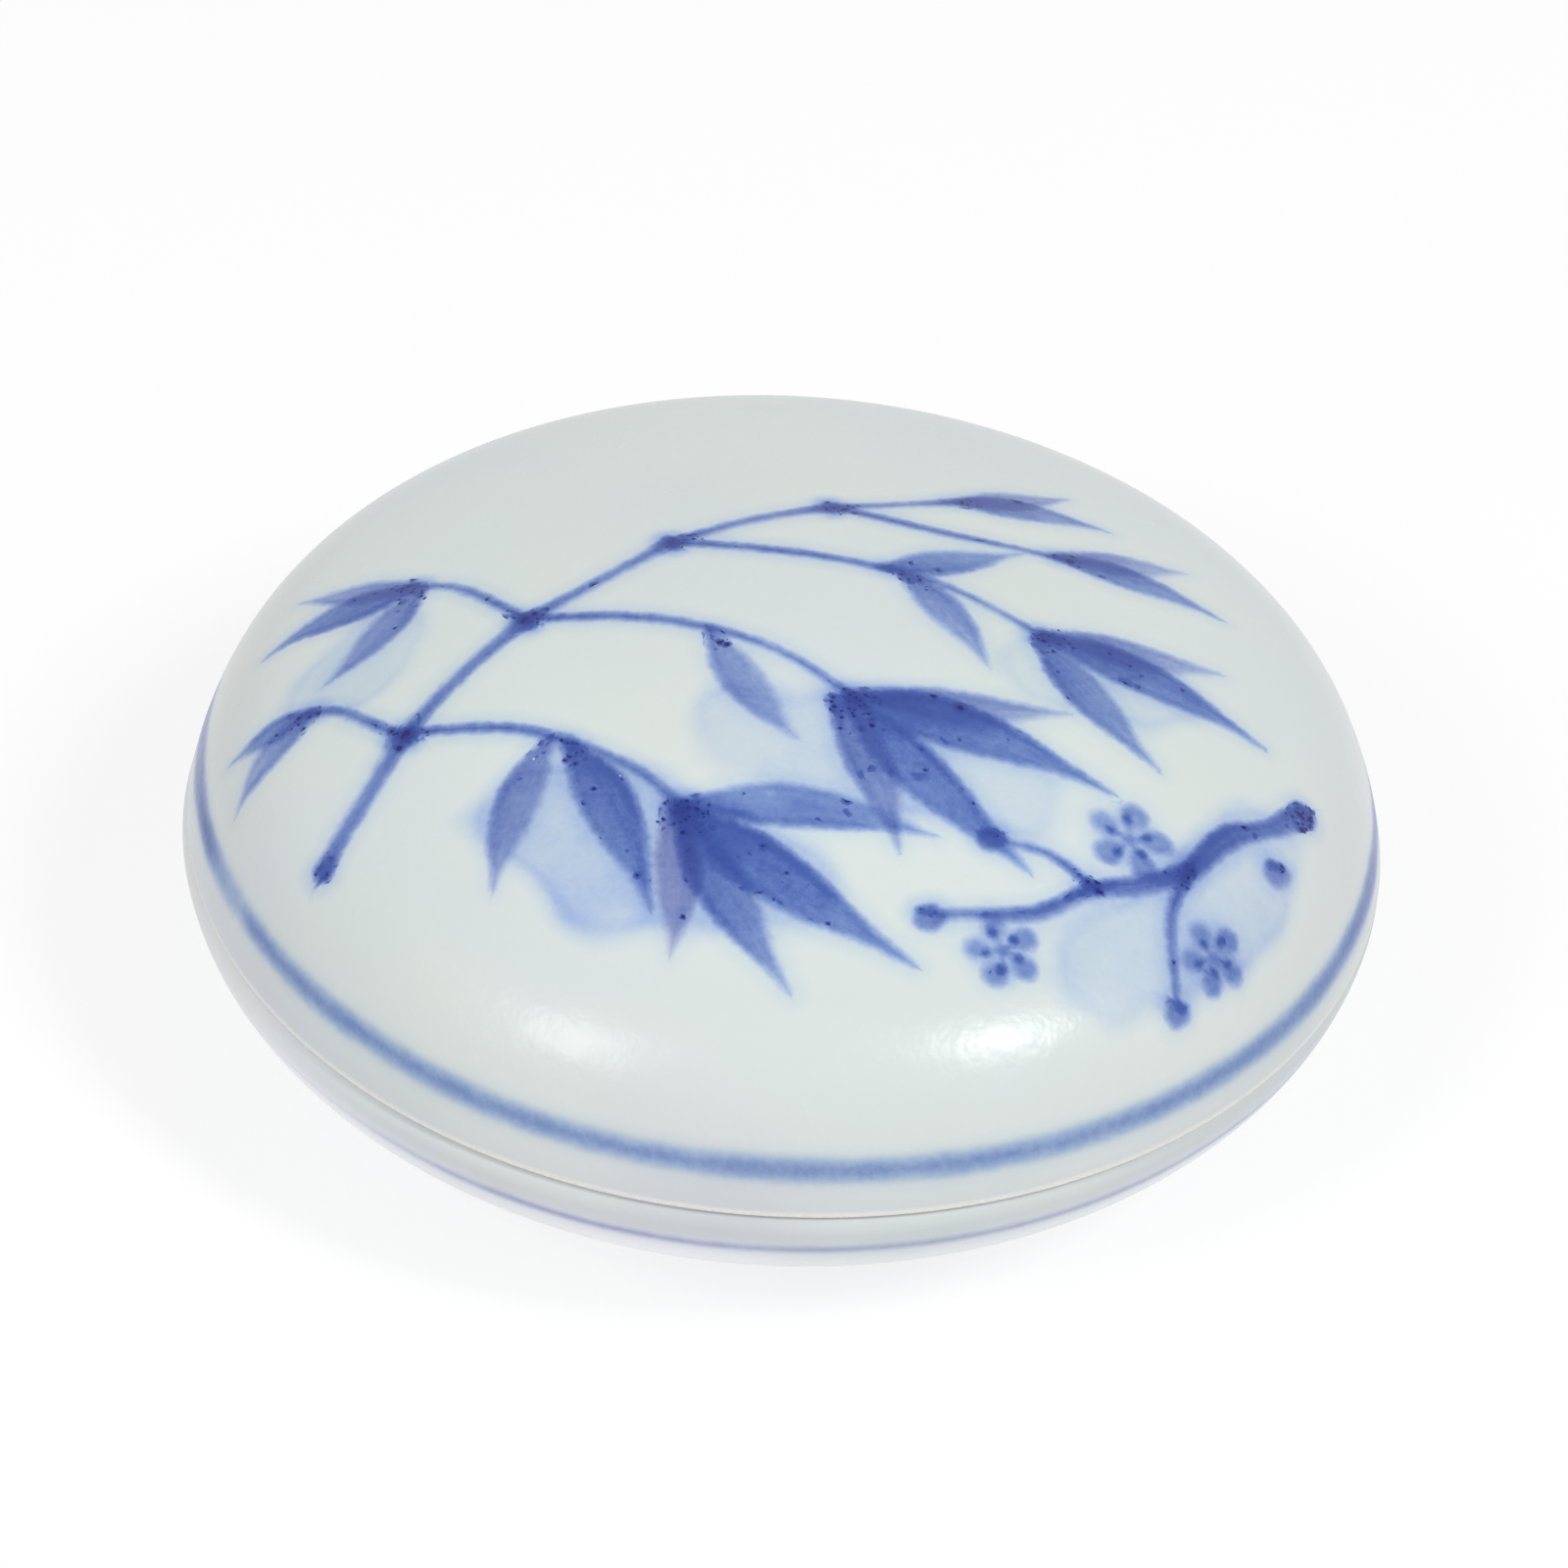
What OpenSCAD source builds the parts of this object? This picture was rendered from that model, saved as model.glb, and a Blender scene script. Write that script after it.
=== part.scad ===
/* [Lid] */
// Diameter of the lid where it meets the base
lid_d = 95; // [80:0.5:120]
// Height of the lid's crown above the seam
lid_h = 22; // [19:0.5:30]
// Radius of the rounded shoulder that runs down to the lid's rim
lid_shoulder_r = 14.8; // [12:0.1:18]
// Thickness of the lid's wall
lid_wall = 3.6; // [2.5:0.1:4.5]
// Rounding of the rim's outer edge
rim_outer_round = 0.9; // [0.3:0.1:1.2]
// Rounding of the rim's inner edge
rim_inner_round = 0.5; // [0.2:0.1:0.8]

/* [Base] */
// How far the base stands out past the lid
base_overhang = 0.9; // [0:0.1:2]
// Height of the seam above the table
base_h = 18; // [16:0.5:24]
// Radius of the rounded shoulder under the seam
base_shoulder_r = 10.1; // [8:0.1:11]
// Rounding of the ledge's outer edge
ledge_round = 1.2; // [0.4:0.1:1.6]
// Radius of the belly between the shoulder and the foot ring
belly_r = 60; // [45:1:90]
// Thickness of the wall between the belly and the well
base_wall = 3.4; // [2.5:0.1:5]
// Rounding between the well's wall and its floor
well_fillet = 12; // [8:0.5:14]

/* [Foot ring] */
// Outer diameter of the foot ring
foot_d = 60; // [52:0.5:64]
// Height of the foot ring
foot_h = 3.1; // [2:0.1:5]
// Width of the foot ring
foot_wall = 3.2; // [2.4:0.1:5]
// Depth of the hollow inside the foot ring
foot_recess = 2.2; // [1:0.1:2.8]
// Rounding of the foot ring's edges
foot_round = 0.6; // [0.2:0.1:0.9]

/* [Collar] */
// Height of the collar above the ledge
collar_h = 3.5; // [2:0.1:6]
// Thickness of the collar at its top
collar_wall = 2.4; // [1.6:0.1:4]
// Rounding of the collar's top edges
collar_round = 0.7; // [0.2:0.1:0.8]
// Clearance between the collar and the inside of the lid
collar_gap = 0.6; // [0.3:0.1:1.2]

/* [Seal paste] */
// Height of the mound of paste above the floor of the well
paste_h = 16.5; // [12:0.5:20]
// Gap between the mound and the wall of the well
paste_gap = 12.3; // [8:0.1:15]
// Radius of the mound's rounded side
paste_side_r = 6; // [4:0.5:7]

/* [Hidden] */
$fn = 180;

// Greatest distance between an arc and the chords that draw it
arc_flatness = 0.01;
lid_r = lid_d / 2;
base_r = lid_r + base_overhang;
foot_r = foot_d / 2;
foot_in_r = foot_r - foot_wall;

// The lid's wall follows the outside at a constant thickness
lid_inner_shoulder_r = lid_shoulder_r - lid_wall;
lid_shoulder_x = lid_r - lid_shoulder_r;
lid_crown_r = crown_r(lid_shoulder_x, lid_h, lid_shoulder_r);

// The collar leans in with the inside of the lid
collar_foot_r = lid_inner_r(0) - collar_gap;
collar_top_r = lid_inner_r(collar_h) - collar_gap;
well_r = collar_top_r - collar_wall;
floor_z = foot_h + base_wall;
well_round = min(well_fillet, base_h + collar_h - collar_round - floor_z);

// The belly is an arc that leaves the shoulder smoothly and ends on top of the foot ring
shoulder_c = [base_r - base_shoulder_r, base_h];
foot_top = [foot_r, foot_h];
foot_way = foot_top - shoulder_c;
belly_way = belly_r - base_shoulder_r;
belly_turn = acos((foot_way * foot_way + belly_way * belly_way - belly_r * belly_r)
    / (2 * norm(foot_way) * belly_way));
belly_angle = atan2(foot_way.y, foot_way.x) - belly_turn;
belly_c = shoulder_c + belly_way * [cos(belly_angle), sin(belly_angle)];
belly_start = -acos((foot_r - belly_c.x) / belly_r);
belly_end = belly_angle + 180;

paste_r = well_r - paste_gap;

// Points along an arc from one angle to another
function arc(c, r, from, to) =
    let (steps = max(2, ceil(abs(to - from) / (2 * acos(1 - arc_flatness / r)))))
    [for (i = [0:steps]) let (a = from + (to - from) * i / steps) c + r * [cos(a), sin(a)]];

// Radius of the crown that meets a shoulder arc smoothly and reaches height h on the axis
function crown_r(shoulder_x, h, shoulder_r) =
    (pow(shoulder_x, 2) + pow(h, 2) - pow(shoulder_r, 2)) / (2 * (h - shoulder_r));

// Angle, seen from either centre, at which a crown meets its shoulder
function crown_angle(shoulder_x, h, shoulder_r) =
    atan2(crown_r(shoulder_x, h, shoulder_r) - h, shoulder_x);

// Inner radius of the lid at height y above its rim
function lid_inner_r(y) = lid_shoulder_x + sqrt(pow(lid_inner_shoulder_r, 2) - y * y);

// Distance from a shoulder's centre to that of a rounding inside it that also touches the seam
function inside_x(shoulder_r, round_r) = sqrt(pow(shoulder_r - round_r, 2) - pow(round_r, 2));

// The same for a rounding that touches the shoulder from outside
function outside_x(shoulder_r, round_r) = sqrt(pow(shoulder_r + round_r, 2) - pow(round_r, 2));

module lid() {
    meet = crown_angle(lid_shoulder_x, lid_h, lid_shoulder_r);
    shoulder = [lid_shoulder_x, 0];
    crown = [0, lid_h - lid_crown_r];
    outer_c = [lid_shoulder_x + inside_x(lid_shoulder_r, rim_outer_round), rim_outer_round];
    inner_c = [lid_shoulder_x + outside_x(lid_inner_shoulder_r, rim_inner_round), rim_inner_round];
    outer_a = atan2(rim_outer_round, outer_c.x - lid_shoulder_x);
    inner_a = atan2(rim_inner_round, inner_c.x - lid_shoulder_x);
    color("#dde6e4")
    translate([0, 0, base_h])
    rotate_extrude()
    polygon(concat(
        arc(inner_c, rim_inner_round, 180 + inner_a, 270),
        arc(outer_c, rim_outer_round, 270, 360 + outer_a),
        arc(shoulder, lid_shoulder_r, outer_a, meet),
        arc(crown, lid_crown_r, meet, 90),
        arc(crown, lid_crown_r - lid_wall, 90, meet),
        arc(shoulder, lid_inner_shoulder_r, meet, inner_a)
    ));
}

module base() {
    ledge_c = [shoulder_c.x + inside_x(base_shoulder_r, ledge_round), base_h - ledge_round];
    ledge_a = atan2(ledge_round, ledge_c.x - shoulder_c.x);
    collar_z = base_h + collar_h;
    color("#d5dcdb")
    rotate_extrude()
    polygon(concat(
        [[0, floor_z], [0, foot_recess]],
        arc([foot_in_r - foot_round, foot_recess - foot_round], foot_round, 90, 0),
        arc([foot_in_r + foot_round, foot_round], foot_round, 180, 270),
        arc([foot_r - foot_round, foot_round], foot_round, 270, 360),
        arc(belly_c, belly_r, belly_start, belly_end),
        arc(shoulder_c, base_shoulder_r, belly_end, -ledge_a),
        arc(ledge_c, ledge_round, -ledge_a, 90),
        [[collar_foot_r, base_h]],
        arc([collar_top_r - collar_round, collar_z - collar_round], collar_round, 0, 90),
        arc([well_r + collar_round, collar_z - collar_round], collar_round, 90, 180),
        arc([well_r - well_round, floor_z + well_round], well_round, 0, -90)
    ));
}

module seal_paste() {
    side_x = paste_r - paste_side_r;
    dome_h = paste_h - paste_side_r;
    dome_r = crown_r(side_x, dome_h, paste_side_r);
    meet = crown_angle(side_x, dome_h, paste_side_r);
    color("#b3261a")
    translate([0, 0, floor_z])
    rotate_extrude()
    polygon(concat(
        [[0, 0]],
        arc([side_x, paste_side_r], paste_side_r, -90, meet),
        arc([0, paste_h - dome_r], dome_r, meet, 90)
    ));
}

base();
lid();
seal_paste();
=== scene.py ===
import bpy
import math
import numpy as np
from mathutils import Matrix, Vector


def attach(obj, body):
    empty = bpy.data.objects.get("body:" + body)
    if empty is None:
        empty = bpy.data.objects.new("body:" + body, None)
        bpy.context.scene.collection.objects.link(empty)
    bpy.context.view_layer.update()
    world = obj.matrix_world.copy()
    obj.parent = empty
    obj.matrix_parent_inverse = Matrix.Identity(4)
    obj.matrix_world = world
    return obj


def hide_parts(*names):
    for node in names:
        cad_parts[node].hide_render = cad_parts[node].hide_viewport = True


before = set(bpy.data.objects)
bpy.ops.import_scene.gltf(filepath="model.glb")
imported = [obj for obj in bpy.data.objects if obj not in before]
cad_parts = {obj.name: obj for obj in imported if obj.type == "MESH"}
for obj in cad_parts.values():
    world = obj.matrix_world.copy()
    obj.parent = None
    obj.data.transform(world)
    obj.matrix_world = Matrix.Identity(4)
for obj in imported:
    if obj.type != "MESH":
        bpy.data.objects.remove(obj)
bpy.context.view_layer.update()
mm = 0.001

# the table top is z = 0, and the lid sits on the base at seam
seam = 18.0


# outlines are drawn in the plane y = 0 and turned about the axis

def startOutline(name, x, z):
    bpy.ops.object.select_all(action="DESELECT")
    bpy.ops.mesh.primitive_plane_add(size=mm, location=(0, 0, 0))
    piece = bpy.context.object
    piece.name = name
    piece.data.name = name
    bpy.ops.object.mode_set(mode="EDIT")
    bpy.ops.mesh.select_all(action="SELECT")
    bpy.ops.mesh.merge(type="CENTER")
    bpy.ops.transform.translate(value=(x * mm, 0, z * mm))
    return piece


def arcOn(centre, turn, steps):
    # a positive turn goes anticlockwise, seen from the front
    middle = (centre[0] * mm, 0, centre[1] * mm)
    bpy.ops.mesh.spin(steps=steps, angle=-math.radians(turn), center=middle, axis=(0, -1, 0))


def lineOn(dx, dz, steps=1):
    for _ in range(steps):
        step = (dx / steps * mm, 0, dz / steps * mm)
        bpy.ops.mesh.extrude_region_move(TRANSFORM_OT_translate={"value": step})


def turnOutline(piece, turns):
    bpy.ops.object.mode_set(mode="OBJECT")
    turning = piece.modifiers.new("turning", "SCREW")
    turning.steps = turns
    turning.render_steps = turns
    bpy.ops.object.modifier_apply(modifier=turning.name)
    bpy.ops.object.mode_set(mode="EDIT")
    bpy.ops.mesh.select_all(action="SELECT")
    bpy.ops.mesh.remove_doubles(threshold=0.001 * mm)
    bpy.ops.mesh.normals_make_consistent(inside=False)
    bpy.ops.object.mode_set(mode="OBJECT")
    bpy.ops.object.shade_smooth_by_angle(angle=math.radians(35))
    print(piece.name, len(piece.data.vertices), "vertices")


def pointsOf(mesh):
    # in mm
    co = np.zeros(len(mesh.vertices) * 3)
    mesh.vertices.foreach_get("co", co)
    return co.reshape(-1, 3) / mm


def crownRadius(x, height, shoulder):
    # of the crown that meets a shoulder centred at x and reaches height on the axis
    return (x * x + height * height - shoulder * shoulder) / (2 * (height - shoulder))


def angleOf(x, z):
    return math.degrees(math.atan2(z, x))


def insideX(shoulder, rounding):
    # how far from the shoulder's centre a rounding sits that touches both it and the seam
    return math.sqrt((shoulder - rounding) ** 2 - rounding ** 2)


def outsideX(shoulder, rounding):
    return math.sqrt((shoulder + rounding) ** 2 - rounding ** 2)


def pointOn(centre, radius, degrees):
    a = math.radians(degrees)
    return centre[0] + radius * math.cos(a), centre[1] + radius * math.sin(a)


# lid

lidShape = {
    "radius": 47.5,
    "height": 22.0,
    "shoulder": 14.8,  # radius of the round shoulder
    "flare": (23.9, 26.0),  # where the shoulder opens towards the rim, in degrees, and the radius there
    "wall": 3.6,
    "rimOutside": 0.5,
    "rimInside": 0.5,
    "turns": 600,  # fine enough to hold the edges of the brush strokes
    "paintedRings": 104,
}


def makeLid():
    d = lidShape
    x = d["radius"] - d["shoulder"]
    crown = crownRadius(x, d["height"], d["shoulder"])
    crownCentre = (0, seam + d["height"] - crown)
    shoulderCentre = (x, seam)
    meet = angleOf(x, crown - d["height"])

    # the wall flares a little above the rim, so that the lid ends as wide as the base
    flareAngle, flare = d["flare"]
    flareCentre = pointOn(shoulderCentre, d["shoulder"] - flare, flareAngle)
    up = seam + d["rimOutside"] - flareCentre[1]
    outerX = flareCentre[0] + math.sqrt((flare - d["rimOutside"]) ** 2 - up ** 2)
    outerRound = (outerX, seam + d["rimOutside"])
    outerAngle = angleOf(outerX - flareCentre[0], up)

    inner = d["shoulder"] - d["wall"]
    innerRound = (x + outsideX(inner, d["rimInside"]), seam + d["rimInside"])
    innerAngle = angleOf(innerRound[0] - x, d["rimInside"])

    # the painted part needs fine rings, and below the ring the shoulder does with fewer
    painted = 46
    piece = startOutline("porcelain_lid", 0, seam + d["height"])
    arcOn(crownCentre, meet - 90, d["paintedRings"])
    arcOn(shoulderCentre, painted - meet, 13)
    arcOn(shoulderCentre, flareAngle - painted, 6)
    arcOn(flareCentre, outerAngle - flareAngle, 5)
    arcOn(outerRound, -90 - outerAngle, 6)
    lineOn(innerRound[0] - outerRound[0], 0)
    arcOn(innerRound, innerAngle - 90, 4)
    arcOn(shoulderCentre, meet - innerAngle, 9)
    arcOn(crownCentre, 90 - meet, 8)
    turnOutline(piece, d["turns"])
    return piece


# base

baseShape = {
    "radius": 48.4,
    "shoulder": 10.1,
    "ledgeRound": 1.2,
    "belly": 60.0,
    "footRadius": 30.0,
    "footHeight": 3.1,
    "footWall": 3.2,
    "footRecess": 2.2,
    "footRound": 0.6,
    "floor": 6.5,
    "wellRound": 12.0,
    "collarHeight": 3.5,
    "collarWall": 2.4,
    "collarRound": 0.7,
    "collarGap": 0.6,
    "turns": 360,
    "warp": (-34, 0.6, 50),  # angle, how far in, and reach
}


def collarRadii():
    # the collar leans in with the inside of the lid and stands a gap away from it
    d = baseShape
    x = lidShape["radius"] - lidShape["shoulder"]
    inner = lidShape["shoulder"] - lidShape["wall"]
    foot = x + inner - d["collarGap"]
    top = x + math.sqrt(inner ** 2 - d["collarHeight"] ** 2) - d["collarGap"]
    return foot, top, top - d["collarWall"]


def makeBase():
    d = baseShape
    collarFoot, collarTop, well = collarRadii()
    rimTop = seam + d["collarHeight"]
    r = d["collarRound"]
    centre = (d["radius"] - d["shoulder"], seam)
    ledge = (centre[0] + insideX(d["shoulder"], d["ledgeRound"]), seam - d["ledgeRound"])
    ledgeAngle = angleOf(ledge[0] - centre[0], d["ledgeRound"])

    # the belly leaves the shoulder smoothly and ends on top of the foot ring
    wayX = d["footRadius"] - centre[0]
    wayZ = d["footHeight"] - centre[1]
    way = math.hypot(wayX, wayZ)
    off = d["belly"] - d["shoulder"]
    turn = math.degrees(math.acos((way ** 2 + off ** 2 - d["belly"] ** 2) / (2 * way * off)))
    angle = angleOf(wayX, wayZ) - turn
    belly = pointOn(centre, off, angle)
    bellyFoot = -math.degrees(math.acos((d["footRadius"] - belly[0]) / d["belly"]))
    bellyTop = angle + 180
    if bellyTop > 180:
        bellyTop -= 360
    footIn = d["footRadius"] - d["footWall"]
    f = d["footRound"]

    piece = startOutline("porcelain_base", 0, d["floor"])
    lineOn(well - d["wellRound"], 0, 6)
    arcOn((well - d["wellRound"], d["floor"] + d["wellRound"]), 90, 18)
    lineOn(0, rimTop - r - d["floor"] - d["wellRound"])
    arcOn((well + r, rimTop - r), -90, 5)
    lineOn(collarTop - well - 2 * r, 0)
    arcOn((collarTop - r, rimTop - r), -90, 5)
    lineOn(collarFoot - collarTop, r + seam - rimTop)
    lineOn(ledge[0] - collarFoot, 0)
    arcOn(ledge, -90 - ledgeAngle, 6)
    arcOn(centre, bellyTop + ledgeAngle, 14)
    arcOn(belly, bellyFoot - bellyTop, 10)
    lineOn(0, f - d["footHeight"])
    arcOn((d["footRadius"] - f, f), -90, 4)
    lineOn(2 * f - d["footWall"], 0)
    arcOn((footIn + f, f), -90, 4)
    lineOn(0, d["footRecess"] - 2 * f)
    arcOn((footIn - f, d["footRecess"] - f), 90, 4)
    lineOn(f - footIn, 0, 4)
    turnOutline(piece, d["turns"])
    pushIn(piece, *d["warp"])
    return piece


def pushIn(piece, angle, amount, reach):
    # the kiln drew one side in, so the wall there is grabbed by a few columns and moved
    a = math.radians(angle)
    aheadX, aheadY = math.cos(a), math.sin(a)
    bpy.ops.object.mode_set(mode="EDIT")
    bpy.ops.mesh.select_all(action="DESELECT")
    bpy.ops.object.mode_set(mode="OBJECT")
    low, inner = 8 * mm, 44 * mm
    narrow = 0.9985  # cosine of the angle to either side that is grabbed
    for v in piece.data.vertices:
        out = math.hypot(v.co.x, v.co.y)
        onWall = v.co.z > low and out > inner
        v.select = onWall and v.co.x * aheadX + v.co.y * aheadY > out * narrow
    bpy.ops.object.mode_set(mode="EDIT")
    bpy.ops.transform.translate(value=(-aheadX * amount * mm, -aheadY * amount * mm, 0),
                                use_proportional_edit=True, proportional_edit_falloff="SMOOTH",
                                proportional_size=reach * mm)
    bpy.ops.object.mode_set(mode="OBJECT")


# paste

pasteShape = {
    "height": 16.5,
    "gap": 12.3,  # from the mound to the wall of the well
    "side": 6.0,
    "turns": 300,
    "folds": 5,  # ridges left by the spatula
    "twist": 0.2,  # how far they wind round
    "foldDepth": 0.8,
    "lumpDepth": 0.6,
    "fibreDepth": 0.26,
}


def wave(a, b, c, seed):
    # smooth lumps from a few crossed waves, from -1 to 1
    total = np.zeros_like(a)
    for k in range(1, 5):
        p = seed * 1.7 + k * 2.3
        long = np.sin(a * (0.31 + 0.13 * k) + b * 0.23 * k + p)
        total += long * np.cos(b * (0.27 + 0.11 * k) - c * 0.3 + 1.9 * p)
    return total / 4


def foldsOf(px, py, up):
    # each ridge rises slowly and falls off fast, as a blade leaves it, and fades at the middle and the side
    d = pasteShape
    r = np.hypot(px, py)
    swirl = (np.arctan2(py, px) + r * d["twist"]) * d["folds"] + 1.1 * wave(px, py, up, 3)
    swirl = 0.5 + 0.5 * np.sin(swirl)
    ridge = np.where(swirl > 0.5, 1 - (1 - swirl) ** 1.3, swirl ** 1.3)
    return ridge * (np.clip((r - 2) / 11, 0, 1) * (0.55 + 0.45 * np.clip((26 - r) / 8, 0, 1)))


def makePaste():
    d = pasteShape
    radius = collarRadii()[2] - d["gap"]
    x = radius - d["side"]
    height = d["height"] - d["side"]
    dome = crownRadius(x, height, d["side"])
    meet = angleOf(x, dome - height)
    floor = baseShape["floor"]
    piece = startOutline("seal_paste_mound", 0, floor)
    lineOn(x, 0, 5)
    arcOn((x, floor + d["side"]), meet + 90, 34)
    arcOn((0, floor + d["height"] - dome), 90 - meet, 60)
    turnOutline(piece, d["turns"])

    # the spatula's folds and the lumps of the fibre go inwards, so the mound keeps its size
    mesh = piece.data
    co = pointsOf(mesh)
    px, py = co[:, 0], co[:, 1]
    up = co[:, 2] - floor
    lump = 0.5 + 0.5 * wave(px * 0.8, py * 0.8, up * 0.8, 1)
    fine = 0.5 + 0.25 * wave(px * 2.9, py * 2.9, up * 2.9, 2) + 0.25 * wave(px * 5.3, py * 5.3, up * 5.3, 5)
    depth = d["foldDepth"] * foldsOf(px, py, up) + d["lumpDepth"] * lump + d["fibreDepth"] * fine
    depth *= np.clip(up / 3, 0, 1)
    core = np.stack([px * 0.35, py * 0.35, np.full(len(co), floor + 3.0)], 1)
    way = core - co
    way /= np.maximum(np.linalg.norm(way, axis=1, keepdims=True), 1e-6)
    co += way * depth[:, None]
    co[:, 2] = np.maximum(co[:, 2], floor)
    mesh.vertices.foreach_set("co", (co * mm).ravel())
    mesh.update()
    return piece


# painting on the lid, in mm on the unrolled dome: x to the right, y away from the front
# a point of a stroke is x, y, half the width, and how loaded the brush is
# a stroke is its layer, its points, and how violet and how heaped the cobalt is
# strokes that touch lie in different layers

def leaf(x, y, heading, length, width, bend, load, fat):
    # one pressed and lifted stroke, widest at fat along its length
    h = math.radians(heading)
    dx, dy = math.cos(h), math.sin(h)
    press = [(0.0, 0.3), (0.1, 0.5), (fat * 0.62, 0.88), (fat, 1.0), (fat + 0.22, 0.76),
             (fat + 0.42, 0.34), (1.0, 0.06)]
    points = []
    for t, wide in press:
        off = bend * length * (2 * t * (1 - t) + 0.5 * t * t)
        along = length * t
        emptied = 0.86 - 0.4 * t
        place = (x + dx * along - dy * off, y + dy * along + dx * off)
        points.append((*place, width / 2 * wide, load * emptied))
    return points


def culmPiece(a, b, wide, bend):
    # a length of culm between two nodes, pressed at both ends
    dx, dy = b[0] - a[0], b[1] - a[1]
    length = math.hypot(dx, dy)
    dx, dy = dx / length, dy / length
    end = 1.3
    presses = [(0.0, 1.2, 1.0), (end, 0.92, 0.66), (length / 2, 0.86, 0.5),
               (length - end, 0.94, 0.64), (length, 1.16, 0.95)]
    points = []
    for t, press, load in presses:
        side = bend * 4 * t * (length - t) / length ** 2
        points.append((a[0] + dx * t - dy * side, a[1] + dy * t + dx * side, wide * press, load))
    return points


def culmStrokes():
    strokes = []
    nodes = [(-36.6, -26.0), (-30.5, -14.0), (-21.5, -2.5), (-10.5, 6.8), (2.0, 13.2), (12.0, 17.0)]
    gap = 0.55
    for k in range(len(nodes) - 1):
        a, b = nodes[k], nodes[k + 1]
        length = math.dist(a, b)
        ux, uy = (b[0] - a[0]) / length, (b[1] - a[1]) / length
        wide = 0.82 - 0.1 * k
        low = (a[0] + ux * gap, a[1] + uy * gap)
        high = (b[0] - ux * gap, b[1] - uy * gap)
        strokes.append((k % 2, culmPiece(low, high, wide, 0.35 if k % 2 else -0.3), 0.15, 0.5))
        if k > 0:
            # a short dark hook across the node
            near, far = 1.5 * wide, 1.6 * wide
            hook = [(a[0] - uy * near, a[1] + ux * near, 0.3, 1.0),
                    (a[0] + ux * 0.35, a[1] + uy * 0.35, 0.34, 0.8),
                    (a[0] + uy * far, a[1] - ux * far, 0.26, 0.9)]
            strokes.append((3, hook, 0.0, 0.8))
    return strokes


def twigStrokes():
    strokes = []
    twigs = [
        [(-30.2, -13.6), (-21.0, -15.0), (-12.6, -19.2), (-7.9, -23.4)],
        [(-21.2, -2.3), (-11.0, -3.4), (-2.0, -6.6), (4.3, -11.3)],
        [(-21.7, -2.1), (-27.0, 3.0), (-31.3, 5.0)],
        [(-10.2, 6.9), (2.0, 5.4), (11.0, 3.6), (19.3, -0.6)],
        [(2.3, 13.2), (11.0, 11.4), (20.4, 11.2)],
        [(-30.8, -13.7), (-36.0, -9.6), (-38.8, -8.7)],
    ]
    for twig in twigs:
        last = len(twig) - 1
        points = []
        for i, (x, y) in enumerate(twig):
            points.append((x, y, 0.4 - 0.1 * i / last + 0.05 * (i % 2), 0.78 - 0.3 * i / last))
        strokes.append((3, points, 0.1, 0.5))
    return strokes


def leafStrokes():
    # layer, then x, y, heading, length, width, bend, load, fat, and how violet and how heaped the cobalt is
    leaves = [
        (0, -7.6, -23.2, -6, 19, 4.0, 0.1, 0.72, 0.42, 0.0, 0.3),
        (1, -7.8, -23.8, -31, 22, 4.8, -0.08, 1.0, 0.38, 0.0, 1.0),
        (2, -8.0, -23.8, -57, 18, 4.2, -0.07, 0.8, 0.4, 0.15, 0.5),
        (0, -8.8, -23.4, -90, 13, 3.5, 0.12, 0.6, 0.45, 0.75, 0.6),
        (2, -17.0, -17.2, -68, 17, 4.2, 0.1, 0.9, 0.4, 0.1, 0.8),
        (1, -18.6, -16.6, -101, 14, 3.6, -0.12, 0.62, 0.44, 0.3, 0.3),
        (2, 4.4, -11.2, 10, 17, 3.5, -0.12, 0.6, 0.45, 0.3, 0.3),
        (0, 4.6, -11.8, -15, 21.2, 5.0, 0.08, 1.0, 0.36, 0.0, 0.9),
        (1, 4.4, -12.2, -41, 20, 4.5, -0.08, 0.84, 0.4, 0.0, 0.6),
        (2, 3.2, -12.0, -71, 15, 3.8, 0.1, 0.66, 0.42, 0.3, 0.5),
        (0, -6.6, -5.2, -54, 13, 3.4, -0.12, 0.58, 0.45, 0.2, 0.6),
        (0, -31.3, 5.2, 166, 10, 2.9, 0.1, 0.66, 0.42, 0.2, 0.2),
        (1, -31.2, 4.6, 199, 13, 3.6, -0.1, 0.95, 0.38, 0.0, 1.0),
        (2, -30.6, 4.2, 232, 12, 3.3, 0.1, 0.72, 0.42, 0.2, 0.4),
        (0, 19.4, -0.2, 10, 15, 3.4, -0.1, 0.62, 0.44, 0.3, 0.2),
        (2, 19.6, -0.8, -17, 19, 4.4, 0.09, 0.96, 0.38, 0.0, 1.0),
        (1, 19.0, -1.2, -46, 15, 3.9, -0.08, 0.76, 0.4, 0.1, 0.5),
        (1, 8.0, 4.2, -58, 12, 3.3, 0.12, 0.68, 0.42, 0.1, 0.6),
        (0, 6.6, 4.9, 30, 12, 3.3, -0.1, 0.78, 0.4, 0.0, 0.3),
        (1, 20.6, 11.2, -8, 14, 3.4, 0.1, 0.88, 0.4, 0.0, 0.7),
        (0, 20.4, 11.5, 22, 12, 3.1, -0.08, 0.58, 0.45, 0.3, 0.2),
        (2, 12.2, 17.2, 34, 11, 3.0, -0.1, 0.66, 0.42, 0.2, 0.2),
        (0, 12.0, 17.1, 4, 13, 3.4, 0.08, 0.9, 0.4, 0.0, 0.7),
        (0, -38.6, -8.6, 188, 8, 2.6, 0.1, 0.78, 0.4, 0.0, 0.3),
        (2, -38.4, -9.0, 226, 10, 3.0, -0.1, 0.58, 0.42, 0.15, 0.4),
    ]
    return [(k[0], leaf(*k[1:9]), k[9], k[10]) for k in leaves]


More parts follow.
